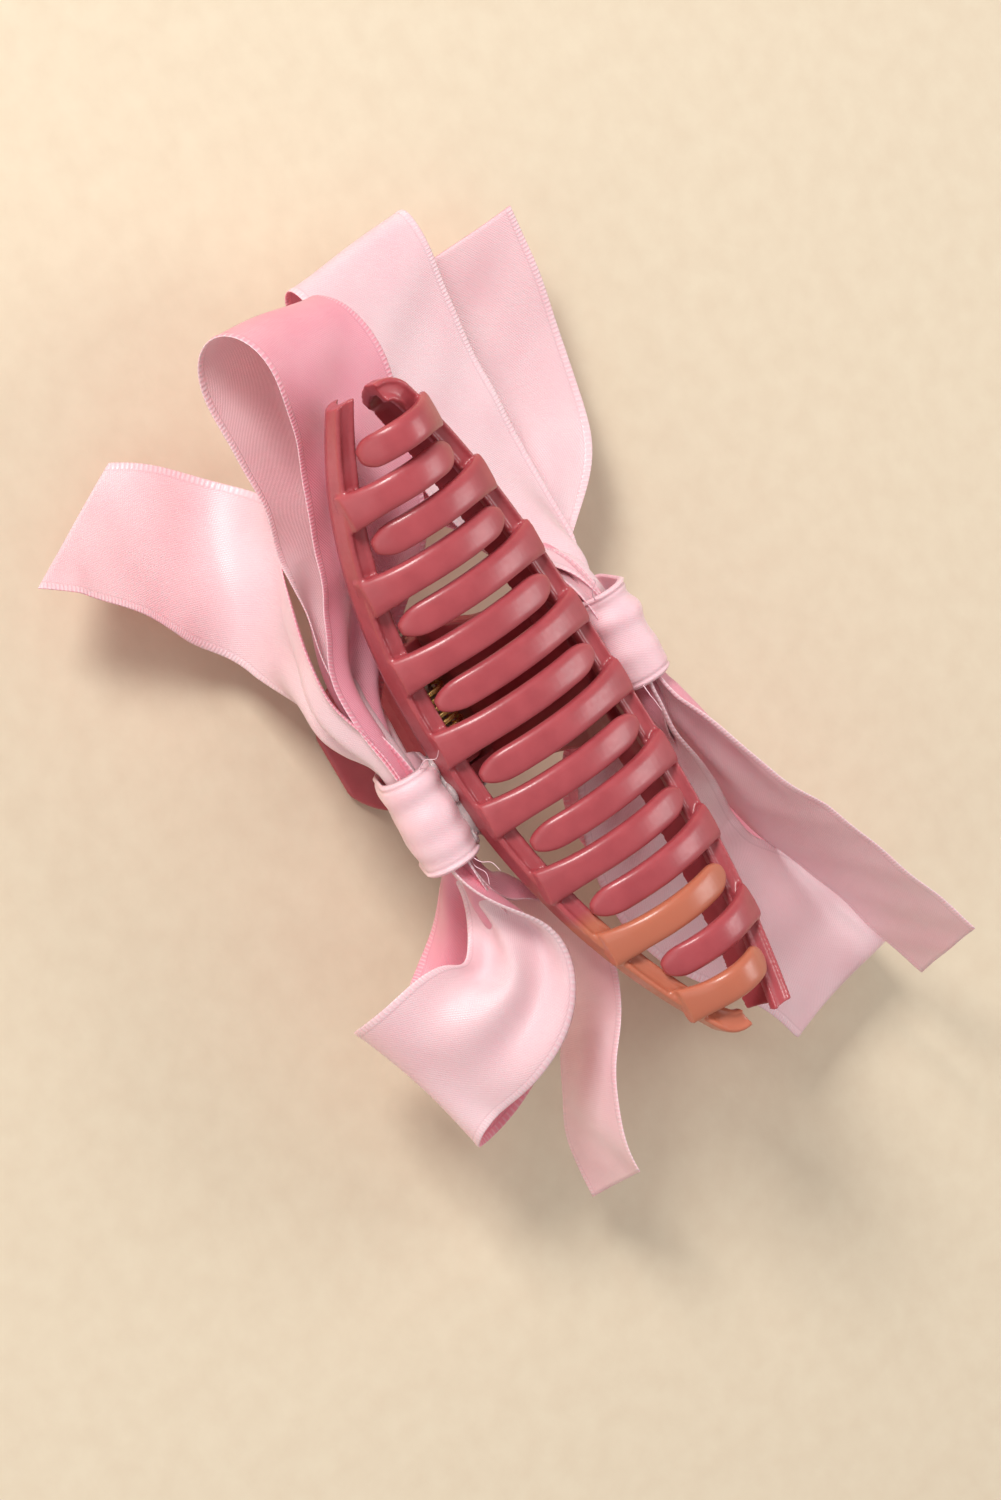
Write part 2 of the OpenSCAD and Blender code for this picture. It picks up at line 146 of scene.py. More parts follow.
def moulded(obj, voxel, rounds):
    """Fuses overlapping solids into one skin with softly rounded joins."""
    remesh = obj.modifiers.new("fuse", "REMESH")
    remesh.mode = "VOXEL"
    remesh.voxel_size = voxel * MM
    relax = obj.modifiers.new("relax", "SMOOTH")
    relax.factor = 0.5
    relax.iterations = rounds
    apply_modifiers(obj)
    obj.data.polygons.foreach_set("use_smooth", [True] * len(obj.data.polygons))


# ---- materials ---------------------------------------------------------------------


class Nodes:
    """Short names for building one node material."""

    def __init__(self, name):
        self.material = bpy.data.materials.new(name)
        self.material.use_nodes = True
        self.tree = self.material.node_tree
        self.shader = self.tree.nodes["Principled BSDF"]

    def add(self, kind, **settings):
        node = self.tree.nodes.new(kind)
        for key, value in settings.items():
            if hasattr(node, key):
                setattr(node, key, value)
            else:
                node.inputs[key].default_value = value
        return node

    def link(self, source, target):
        self.tree.links.new(source, target)

    def put(self, name, value):
        """Links a socket, or sets a plain value, on the shader."""
        if isinstance(value, bpy.types.NodeSocket):
            self.link(value, self.shader.inputs[name])
        else:
            self.shader.inputs[name].default_value = value

    def math(self, operation, a, b=None):
        node = self.add("ShaderNodeMath", operation=operation)
        for socket, value in zip(node.inputs, (a, b)):
            if isinstance(value, bpy.types.NodeSocket):
                self.link(value, socket)
            elif value is not None:
                socket.default_value = value
        return node.outputs[0]

    def noise(self, vector, scale, detail=3.0):
        node = self.add("ShaderNodeTexNoise", Scale=scale, Detail=detail)
        self.link(vector, node.inputs["Vector"])
        return node.outputs["Fac"]

    def span(self, value, low, high, out_low=0.0, out_high=1.0):
        """A value mapped from one range to another, and kept inside it."""
        node = self.add("ShaderNodeMapRange")
        self.link(value, node.inputs["Value"])
        for key, number in (("From Min", low), ("From Max", high), ("To Min", out_low), ("To Max", out_high)):
            node.inputs[key].default_value = number
        return node.outputs[0]

    def blend(self, fac, a, b):
        """Colour a where fac is 0 and colour b where it is 1."""
        node = self.add("ShaderNodeMix", data_type="RGBA")
        for socket, value in ((node.inputs[0], fac), (node.inputs[6], a), (node.inputs[7], b)):
            if isinstance(value, bpy.types.NodeSocket):
                self.link(value, socket)
            elif isinstance(value, tuple):
                socket.default_value = (*value, 1.0)
            else:
                socket.default_value = value
        return node.outputs[2]

    def bump(self, height, strength, distance):
        node = self.add("ShaderNodeBump", Strength=strength, Distance=distance)
        self.link(height, node.inputs["Height"])
        return node.outputs["Normal"]

    def object_position(self):
        return self.add("ShaderNodeTexCoord").outputs["Object"]


ROSE = (0.42, 0.068, 0.082)
ROSE_DARK = (0.37, 0.055, 0.068)
# Colour of the painted warm glow on one end of the left jaw.
SALMON_GLOW = (0.50, 0.145, 0.082)


def rose_plastic(name, salmon_glow_from=None):
    """Glossy rose moulding with faint mottling, scratches and pits, and, beyond the X it is given, a salmon
    tint that is painted warm glow.
    """
    n = Nodes(name)
    place = n.object_position()
    mottle = n.noise(place, 260.0)
    colour = n.blend(n.span(mottle, 0.35, 0.65), ROSE, ROSE_DARK)
    # Painted warm glow: past the given X the colour turns salmon.
    if salmon_glow_from is not None:
        xyz = n.add("ShaderNodeSeparateXYZ")
        n.link(place, xyz.inputs[0])
        edge = CLIP_ORIGIN[0] + salmon_glow_from * MM
        tint = n.span(xyz.outputs[0], edge, edge + 2.5 * MM)
        colour = n.blend(tint, colour, SALMON_GLOW)
    fine = n.noise(place, 1500.0, 2.0)
    stretched = n.add("ShaderNodeMapping")
    stretched.inputs["Scale"].default_value = (300.0, 2600.0, 900.0)
    stretched.inputs["Rotation"].default_value = (0.3, 0.2, 0.9)
    n.link(place, stretched.inputs["Vector"])
    scratches = n.noise(stretched.outputs[0], 1.0, 1.0)
    pits = n.add("ShaderNodeTexVoronoi", Scale=420.0)
    n.link(place, pits.inputs["Vector"])
    pit = n.span(pits.outputs["Distance"], 0.0, 0.09)
    height = n.math("ADD", n.math("MULTIPLY", scratches, 0.35), n.math("MULTIPLY", pit, 0.5))
    height = n.math("ADD", height, n.math("MULTIPLY", fine, 0.25))
    n.put("Base Color", colour)
    n.put("Roughness", n.span(fine, 0.3, 0.7, 0.30, 0.40))
    n.put("Normal", n.bump(height, 0.12, 0.00008))
    n.put("Coat Weight", 0.2)
    n.put("Coat Roughness", 0.2)
    n.put("Subsurface Weight", 0.12)
    n.put("Subsurface Radius", (0.004, 0.0012, 0.001))
    n.put("Subsurface Scale", 1.0)
    n.put("IOR", 1.5)
    return n.material


RIBBON_W = 25.0
PALE = (0.95, 0.63, 0.68)
PALE_WARM = (0.94, 0.55, 0.61)
# Back colours: partly the satin's duller reverse, partly painted shade standing in for the deep pink of
# shaded loop insides.
REVERSE_PINK_PAINTED_SHADE = (0.91, 0.37, 0.45)
REVERSE_PINK_PAINTED_SHADE_COOL = (0.88, 0.30, 0.39)
RIB_LIGHT = (0.97, 0.80, 0.84)
SELVEDGE_W = 1.25
TWILL_STEP, WEFT_STEP, RIB_STEP = 0.42, 0.30, 0.62


def satin(name, face, shade):
    """Satin whose UV map is millimetres across and along the ribbon: a fine twill and ribbed selvedges."""
    n = Nodes(name)
    uv = n.add("ShaderNodeUVMap").outputs[0]
    xyz = n.add("ShaderNodeSeparateXYZ")
    n.link(uv, xyz.inputs[0])
    across, along = xyz.outputs[0], xyz.outputs[1]
    slant = n.math("ADD", across, n.math("MULTIPLY", along, 0.7))
    twill = n.math("SINE", n.math("MULTIPLY", slant, 2 * math.pi / TWILL_STEP))
    weft = n.math("SINE", n.math("MULTIPLY", along, 2 * math.pi / WEFT_STEP))
    weave = n.math("ADD", n.math("MULTIPLY", twill, 0.65), n.math("MULTIPLY", weft, 0.35))
    from_edge = n.math("SUBTRACT", RIBBON_W / 2, n.math("ABSOLUTE", across))
    selvedge = n.span(from_edge, SELVEDGE_W - 0.3, SELVEDGE_W, 1.0, 0.0)
    ribs = n.math("SINE", n.math("MULTIPLY", along, 2 * math.pi / RIB_STEP))
    from_groove = n.math("ABSOLUTE", n.math("SUBTRACT", from_edge, SELVEDGE_W))
    groove = n.math("SUBTRACT", 1.0, n.span(from_groove, 0.0, 0.22))
    flat_weave = n.math("MULTIPLY", weave, n.math("SUBTRACT", 1.0, selvedge))
    edge_weave = n.math("MULTIPLY", n.math("MULTIPLY", ribs, 1.3), selvedge)
    height = n.math("ADD", n.math("ADD", flat_weave, edge_weave), n.math("MULTIPLY", groove, -1.5))
    place = n.object_position()
    cloud = n.noise(place, 90.0)
    colour = n.blend(n.span(cloud, 0.3, 0.7), face, shade)
    thread = n.span(weave, -1.0, 1.0, 0.0, 0.22)
    colour = n.blend(thread, colour, tuple(min(1.0, c * 0.78) for c in shade))
    ribbed = n.math("MULTIPLY", n.span(ribs, 0.1, 0.9), n.math("MULTIPLY", selvedge, 0.3))
    colour = n.blend(ribbed, colour, RIB_LIGHT)
    # Painted shade: the colour is darkened in the recessed groove beside each selvedge.
    colour = n.blend(n.math("MULTIPLY", groove, 0.35), colour, tuple(c * 0.7 for c in shade))
    n.put("Base Color", colour)
    n.put("Roughness", n.span(cloud, 0.3, 0.7, 0.33, 0.42))
    n.put("Normal", n.bump(height, 0.35, 0.00006))
    n.put("Sheen Weight", 0.2)
    n.put("Sheen Roughness", 0.35)
    n.put("Sheen Tint", (1.0, 0.86, 0.87, 1.0))
    n.put("Subsurface Weight", 0.2)
    n.put("Subsurface Radius", (0.004, 0.001, 0.0012))
    n.put("Subsurface Scale", 1.0)
    n.put("Specular IOR Level", 0.6)
    n.put("Anisotropic", 0.6)
    n.put("Tangent", n.add("ShaderNodeTangent", direction_type="UV_MAP").outputs[0])
    return n.material


def wire(name, colour, roughness):
    """Drawn metal wire with fine lengthwise streaks."""
    n = Nodes(name)
    streaks = n.noise(n.object_position(), 3000.0, 2.0)
    n.put("Base Color", n.blend(n.span(streaks, 0.3, 0.7), colour, tuple(c * 0.8 for c in colour)))
    n.put("Metallic", 1.0)
    n.put("Roughness", n.span(streaks, 0.3, 0.7, roughness * 0.8, roughness * 1.3))
    n.put("Normal", n.bump(streaks, 0.1, 0.00005))
    return n.material


def clear_glue(name):
    """Hot-melt glue: milky, wet-looking and uneven."""
    n = Nodes(name)
    lumps = n.noise(n.object_position(), 500.0)
    n.put("Base Color", n.blend(n.span(lumps, 0.3, 0.7), (0.90, 0.72, 0.74), (0.95, 0.86, 0.86)))
    n.put("Roughness", n.span(lumps, 0.3, 0.7, 0.08, 0.2))
    n.put("Transmission Weight", 0.55)
    n.put("IOR", 1.46)
    n.put("Normal", n.bump(lumps, 0.3, 0.0002))
    return n.material


def thread_fibre(name):
    """Pale twisted thread."""
    n = Nodes(name)
    twist = n.noise(n.object_position(), 2500.0, 2.0)
    n.put("Base Color", n.blend(n.span(twist, 0.35, 0.65), (0.88, 0.66, 0.72), (0.80, 0.50, 0.58)))
    n.put("Roughness", 0.6)
    n.put("Normal", n.bump(twist, 0.4, 0.0001))
    return n.material


def floor_paper(name):
    """Pale beige card."""
    n = Nodes(name)
    place = n.object_position()
    grain = n.noise(place, 220.0, 4.0)
    n.put("Base Color", n.blend(n.span(grain, 0.3, 0.7), (0.76, 0.65, 0.49), (0.73, 0.61, 0.455)))
    n.put("Roughness", 0.75)
    n.put("Normal", n.bump(grain, 0.12, 0.0008))
    return n.material


SATIN_FACE = satin("satin_face", PALE, PALE_WARM)
# The back material carries painted shade: its deep pink stands in for the shaded insides of the loops, over
# the satin's duller reverse.
SATIN_BACK_PAINTED_SHADE = satin("satin_back_painted_shade", REVERSE_PINK_PAINTED_SHADE, REVERSE_PINK_PAINTED_SHADE_COOL)
GLUE = clear_glue("hot_glue")
THREAD = thread_fibre("sewing_thread")

# ---- the jaws ------------------------------------------------------------------------
# One moulding is drawn with its rail on the +Y side. The left jaw is the same turned
# half a turn about Z. The formulas are those of the CAD jaw.

JAW_LENGTH = 112.0
RAIL_SPAN = 59.0
TOOTH_PITCH = 12.8
TEETH = 8


def rail_y(x):
    bow = 1 - abs(x / RAIL_SPAN) ** 2.44
    return 4 + 12 * bow + 3.3 * x / RAIL_SPAN


def rail_z(x):
    return 14.2 * (x / RAIL_SPAN) ** 2


def wall_depth(x):
    return 11 - 2 * max(0.0, (abs(x) - 38) / 18) ** 2


def wall_section(d):
    """Rail and wall, as offsets in Y and Z from the rail's top outer edge.

    The rail's top is a shallow trough.
    """
    return [
        (-0.35, -1.0),
        (0.0, -1.4),
        (0.0, -d * 0.5),
        (-0.9, -d * 0.75),
        (-2.6, -d),
        (-4.3, -d + 0.3),
        (-2.8, -d * 0.72),
        (-2.0, -d * 0.48),
        (-2.0, -3.2),
        (-3.4, -2.8),
        (-3.4, -1.3),
        (-3.1, -1.0),
        (-2.75, -1.05),
        (-2.5, -1.45),
        (-0.95, -1.45),
        (-0.7, -1.05),
    ]


HOOK_R = 4.6
HOOK_START, HOOK_END = math.radians(25), math.radians(100)
HOOK_X = HOOK_R * (1 - math.sin(HOOK_START)) - JAW_LENGTH / 2


def wall():
    rings = []
    for x in np.linspace(JAW_LENGTH / 2, HOOK_X + 2.6, 90):
        y, z = rail_y(x), rail_z(x)
        rings.append([(x, y + p, z + q) for p, q in wall_section(wall_depth(x))])
    cx = HOOK_X + HOOK_R * math.sin(HOOK_START)
    cy = rail_y(HOOK_X) - HOOK_R * math.cos(HOOK_START)
    for a in np.linspace(HOOK_START, HOOK_END, 10):
        lift = rail_z(HOOK_X) + 0.5 * math.sin(a - HOOK_START)
        ring = []
        for p, q in wall_section(wall_depth(HOOK_X)):
            r = HOOK_R + p
            ring.append((cx - r * math.sin(a), cy + r * math.cos(a), lift + q))
        rings.append(ring)
    return skin(rings)


def tooth(x):
    """A bowed tooth from the rail to just inside the opposite one, with a domed top and a bullet tip."""
    y0, y1 = rail_y(x) - 0.05, -(rail_y(-x) - 2.8)
    z = rail_z(x)
    stations = list(np.linspace(0, 0.84, 22)) + [0.88, 0.91, 0.94, 0.96, 0.975, 0.985, 0.993]
    rings = []
    for t in stations:
        root = 0.6 * (1 - min(t / 0.3, 1)) ** 2
        tip = max(0.0, (t - 0.84) / 0.16)
        bullet = math.sqrt(max(0.02, 1 - tip * tip))
        half = (2.45 + root) * bullet
        top = z + 4 * 4.3 * t * (1 - t) + 1.2 * t
        thick = mix(2.8, 1.9, t) * mix(0.55, 1.0, bullet)
        middle = top - mix(2.8, 1.9, t) * 0.5
        ring = []
        for k in range(20):
            a = 2 * math.pi * k / 20
            c, s = math.cos(a), math.sin(a)
            px = half * math.copysign(abs(c) ** 0.62, c)
            pz = thick / 2 * math.copysign(abs(s) ** (0.75 if s > 0 else 0.4), s)
            ring.append((x + px, mix(y0, y1, t), middle + pz))
        rings.append(ring[::-1])
    return skin(rings)


# Middle line of the plate that joins the wall to the hinge: Y, Z and thickness
PLATE_LINE = [
    (13.3, -5.5, 1.8),
    (12.95, -8.5, 2.0),
    (11.9, -12.5, 2.1),
    (9.95, -17.2, 2.1),
    (7.85, -22.2, 2.1),
    (6.1, -27.2, 2.2),
    (5.0, -31.5, 2.4),
    (4.8, -35.5, 2.3),
    (5.4, -38.2, 2.2),
]
# Its cut edges, as shares of its half width and half thickness
PLATE_CORNERS = [
    (-1, -0.6),
    (-1, 0.6),
    (-0.96, 1),
    (0.96, 1),
    (1, 0.6),
    (1, -0.6),
    (0.96, -1),
    (-0.96, -1),
]


def plate():
    rings = []
    for i, (y, z, thick) in enumerate(PLATE_LINE):
        before, after = PLATE_LINE[max(i - 1, 0)], PLATE_LINE[min(i + 1, len(PLATE_LINE) - 1)]
        run = unit([after[0] - before[0], after[1] - before[1]])
        normal = np.array([run[1], -run[0]]) * thick / 2
        waist = 13.4 - 1.0 * math.exp(-(((z + 20) / 5) ** 2))
        ring = []
        for sx, sn in PLATE_CORNERS:
            ring.append((sx * waist, y + sn * normal[0], z + sn * normal[1]))
        rings.append(ring)
    return skin(rings)


LEVER_ANGLE = math.radians(25)
LEVER_ROOT, LEVER_REACH, LEVER_CENTRE, LEVER_R = 5.6, 19.1, 6.9, 13.3


def lever_outline(inset, count=72):
    """The pad's rim, drawn around a point inside it."""
    middle = 10.5
    points = []
    for k in range(count):
        a = 2 * math.pi * k / count
        dx, dy = math.cos(a), math.sin(a)
        r = LEVER_R - inset
        off = middle - LEVER_CENTRE
        reach = -off * dy + math.sqrt(max(0.0, r * r - (off * dx) ** 2))
        if dy > 1e-6:
            reach = min(reach, (LEVER_REACH - inset - middle) / dy)
        if dy < -1e-6:
            reach = min(reach, (LEVER_ROOT + inset - middle) / dy)
        points.append((dx * reach, middle + dy * reach))
    return points


def lever():
    """Rounded finger pad with a raised rim."""
    low, high = -3.7, -1.5
    rings = []
    for inset, height in (
        (3.0, low + 0.15),
        (0.6, low),
        (0.15, low + 0.2),
        (0.0, low + 0.6),
        (0.0, high - 0.6),
        (0.15, high - 0.2),
        (0.5, high),
        (1.1, high),
        (2.4, high - 0.1),
        (5.0, high - 0.2),
    ):
        ring = []
        for px, along in lever_outline(inset):
            y = along * math.cos(LEVER_ANGLE) + height * math.sin(LEVER_ANGLE)
            z = -along * math.sin(LEVER_ANGLE) + height * math.cos(LEVER_ANGLE)
            ring.append((px, y, z - HINGE_DEPTH))
        rings.append(ring)
    return skin(rings)


def tube_solid(x0, x1, outer, inner, sides=40):
    """Ring about the hinge axis."""
    rings = []
    for x, r in ((x0, inner), (x0, outer), (x1, outer), (x1, inner)):
        ring = []
        for k in range(sides):
            a = 2 * math.pi * k / sides
            ring.append((x, r * math.cos(a), r * math.sin(a) - HINGE_DEPTH))
        rings.append(ring)
    points, faces = skin(rings)
    faces = faces[:-2]
    last = 3 * sides
    for j in range(sides):
        after = (j + 1) % sides
        faces.append((last + j, j, after, last + after))
    return points, faces


KNUCKLE_HALF = 1.6
KNUCKLE_R, BORE_R = 2.8, 1.04
KNUCKLE_X = (-7.3, 10.9)


def knuckle(x):
    """One hinge eye and the short bridge that ties it to the plate."""
    half = KNUCKLE_HALF
    corners = [(1.2, -2.7), (4.5, -2.7), (4.5, 2.7), (1.2, 2.7)]
    bridge = skin([[(x + s, y, z - HINGE_DEPTH) for y, z in corners] for s in (-half, half)])
    return [tube_solid(x - half, x + half, KNUCKLE_R, BORE_R), bridge]


FIRST_TOOTH = -3.75
FUSE_VOXEL, FUSE_ROUNDS = 0.26, 2
# X where the painted warm glow on the left jaw's end begins.
SALMON_GLOW_FROM = 28.5


def jaw(name, turned, body, material):
    """The whole moulding, fused into one skin."""
    parts = [wall(), plate(), lever()]
    parts += [tooth((i + FIRST_TOOTH) * TOOTH_PITCH) for i in range(TEETH)]
    for x in KNUCKLE_X:
        parts += knuckle(x)
    points, faces = joined(parts)
    if turned:
        points = points * np.array([-1, -1, 1])
    piece = mesh_object(name + "_moulding", points, faces, None)
    moulded(piece, FUSE_VOXEL, FUSE_ROUNDS)
    piece.data.materials.clear()
    piece.data.materials.append(material)
    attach(piece, body)
    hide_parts(name)


jaw("left_jaw", True, "left_half", rose_plastic("rose_plastic_left", salmon_glow_from=SALMON_GLOW_FROM))
jaw("right_jaw", False, "right_half", rose_plastic("rose_plastic_right"))

# ---- pin and spring ---------------------------------------------------------------------

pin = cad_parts["hinge_pin"]
pin.data.materials.clear()
pin.data.materials.append(wire("steel_wire", (0.62, 0.61, 0.60), 0.3))


def tube(name, line, radius, body, material, sides=12):
    """A round tube along a line of clip points, with the radius as a number or one per point."""
    line = np.asarray(line, float)
    run = unit(np.gradient(line, axis=0))
    radii = np.broadcast_to(radius, len(line))
    side = unit(np.cross(run[0], [0.31, 0.57, 0.76]))
    rings = []
    for p, t, r in zip(line, run, radii):
        side = unit(side - t * np.dot(side, t))
        up = np.cross(t, side)
        angles = 2 * math.pi * np.arange(sides) / sides
        rings.append(p + r * (np.outer(np.cos(angles), side) + np.outer(np.sin(angles), up)))
    piece = mesh_object(name, *skin(rings), body)
    piece.data.materials.append(material)
    return piece


COIL_HALF, COIL_R, COIL_TURNS = 4.4, 2.5, 7
WIRE_R = 0.4
LEG_DROP = 3.7 + WIRE_R + 0.05


def under_lever(side, x, along):
    """A point of a spring leg, which lies along a lever's underside."""
    y = along * math.cos(LEVER_ANGLE) - LEG_DROP * math.sin(LEVER_ANGLE)
    z = -along * math.sin(LEVER_ANGLE) - LEG_DROP * math.cos(LEVER_ANGLE)
    return (x, side * y, z - HINGE_DEPTH)


def spring_line():
    """The wire's middle line: a leg, the coil round the pin, and the other leg."""
    turn = []
    count = COIL_TURNS * 30
    for k in range(count + 1):
        a = 2 * math.pi * COIL_TURNS * k / count
        x = mix(-COIL_HALF, COIL_HALF, k / count)
        turn.append((x, COIL_R * math.sin(a), -HINGE_DEPTH - COIL_R * math.cos(a)))
    start = [under_lever(-1, -COIL_HALF - 0.2, s) for s in (12, 10, 8, 6.5, 5)]
    end = [under_lever(1, COIL_HALF + 0.2, s) for s in (5, 6.5, 8, 10, 12)]
    return start + turn + end


spring = tube("torsion_spring_wire", spring_line(), WIRE_R, None, wire("gold_wire", (0.95, 0.70, 0.25), 0.3))
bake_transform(spring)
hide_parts("torsion_spring")

# ---- ribbons ------------------------------------------------------------------------------
# A station is x, y, z of the ribbon's middle, the direction across it, the part of its
# width that is left where it is gathered, and how far its middle bows out of flat.

L1, L2, L3, L4 = 17.0, 18.3, 19.7, 21.1
RIGHT_OUT = 2.5
R1, R2, R3, R4 = L1 + RIGHT_OUT, L2 + RIGHT_OUT, L3 + RIGHT_OUT, L4 + RIGHT_OUT
KNOT_Z = -10
LX0, LX1 = 4.9, 6.1
RX0, RX1 = -1.1, 0.1

